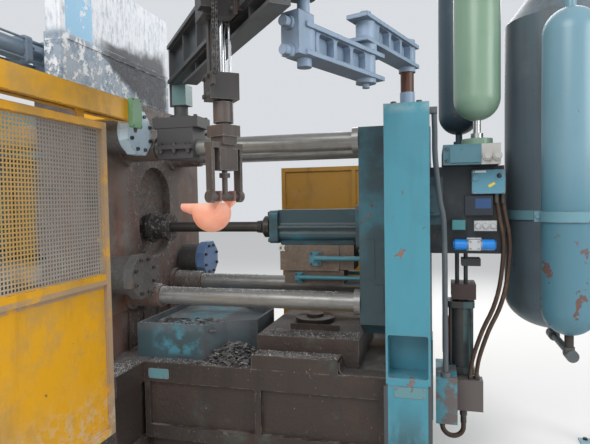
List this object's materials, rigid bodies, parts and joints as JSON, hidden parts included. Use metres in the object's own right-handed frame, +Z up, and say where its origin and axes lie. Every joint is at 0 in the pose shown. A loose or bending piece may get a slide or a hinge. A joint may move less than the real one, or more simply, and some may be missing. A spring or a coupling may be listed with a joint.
{
  "type": "cold chamber die casting machine",
  "caption": "Horizontal cold chamber die casting machine with shot frame, bar-guided shot cylinder, overhead ladle on a swing-braced boom, sliding guard door and gas bottles.",
  "frame": {"origin": "on the floor, under the shot side face of the fixed platen, on the centre plane of the machine", "axes": "+X from the clamp end to the shot end, +Y away from the operator, +Z up"},
  "size_m": [6.88, 4.82, 3.18],
  "materials": {
    "oily_bed": "oily dark brown paint with metal dust",
    "rust_platen": "rusty casting, dusted with metal",
    "dusty_sheet": "blue grey paint under pale dust",
    "bar_steel": "ground steel, smeared and oily",
    "pale_blue": "pale blue paint, stained",
    "die_steel": "tool steel, grey",
    "teal_paint": "teal paint, chipped and stained",
    "brown_steel": "brown stained steel",
    "dark_steel": "dark oily steel",
    "dark_paint": "dark grey paint, oily",
    "arm_blue": "blue grey paint",
    "hot_ladle": "glowing cast iron",
    "yellow_paint": "chrome yellow paint, dirty",
    "green_paint": "pale green paint",
    "dark_teal": "dark teal paint, dirty",
    "valve_blue": "bright blue paint",
    "bottle_blue": "teal blue paint, chipped",
    "stand_grey": "grey green paint",
    "pipe_grey": "grey painted steel tube",
    "hose_rubber": "brown black hydraulic hose"
  },
  "bodies": {
    "root": {"clamp_bed": "oily_bed", "platen_base": "oily_bed", "shot_bed": "oily_bed", "fixed_platen": "rust_platen", "platen_hood": "dusty_sheet", "tie_bars": "bar_steel", "tie_bar_ends": "pale_blue", "fixed_die": "die_steel", "moving_die": "die_steel", "moving_platen": "teal_paint", "toggle_platen": "teal_paint", "toggle_links": "bar_steel", "closing_cylinder": "teal_paint", "core_cylinder": "pale_blue", "shot_bars": "bar_steel", "shot_yoke": "teal_paint", "front_column": "teal_paint", "rear_column": "teal_paint", "shot_cylinder": "teal_paint", "shot_manifold": "brown_steel", "shot_sleeve": "die_steel", "bed_riser": "oily_bed", "drip_box": "teal_paint", "chip_tray": "brown_steel", "boom_post": "teal_paint", "ladler_boom": "dark_paint", "inner_arm": "arm_blue", "outer_arm": "arm_blue", "guard_rail": "yellow_paint", "rear_guard": "yellow_paint", "green_accumulator": "green_paint", "dark_accumulator": "dark_teal", "shot_valve_block": "dark_paint", "terminal_box": "teal_paint", "solenoid_valves": "valve_blue", "lock_cylinder": "dark_teal", "front_bottle": "bottle_blue", "rear_bottle": "dark_teal", "bottle_stand": "stand_grey", "pipe_runs": "pipe_grey", "hose_runs": "hose_rubber"},
    "plunger": {"plunger_rod": "dark_steel"},
    "carriage": {"ladle_carriage": "dark_paint", "lift_chain": "dark_steel"},
    "mast": {"ladle_mast": "dark_steel"},
    "ladle": {"ladle_cup": "hot_ladle"},
    "door": {"guard_door": "yellow_paint", "guard_mesh": "yellow_paint"}
  },
  "joints": [
    {"name": "shot_stroke", "type": "slide", "parent": "root", "child": "plunger", "axis": [-1, 0, 0], "range_m": [0, 0.45]},
    {"name": "ladle_travel", "type": "slide", "parent": "root", "child": "carriage", "axis": [0.6374, -0.7705, 0], "range_m": [-0.85, 0.25]},
    {"name": "ladle_lift", "type": "slide", "parent": "carriage", "child": "mast", "axis": [0, 0, 1], "range_m": [-0.6, 0]},
    {"name": "ladle_tilt", "type": "hinge", "parent": "mast", "child": "ladle", "pos_m": [1.23059, -1.50593, 1.69], "axis": [-0.4067, -0.9135, 0], "range_deg": [0, 75]},
    {"name": "guard_slide", "type": "slide", "parent": "root", "child": "door", "axis": [0, -1, 0], "range_m": [0, 1]}
  ]
}
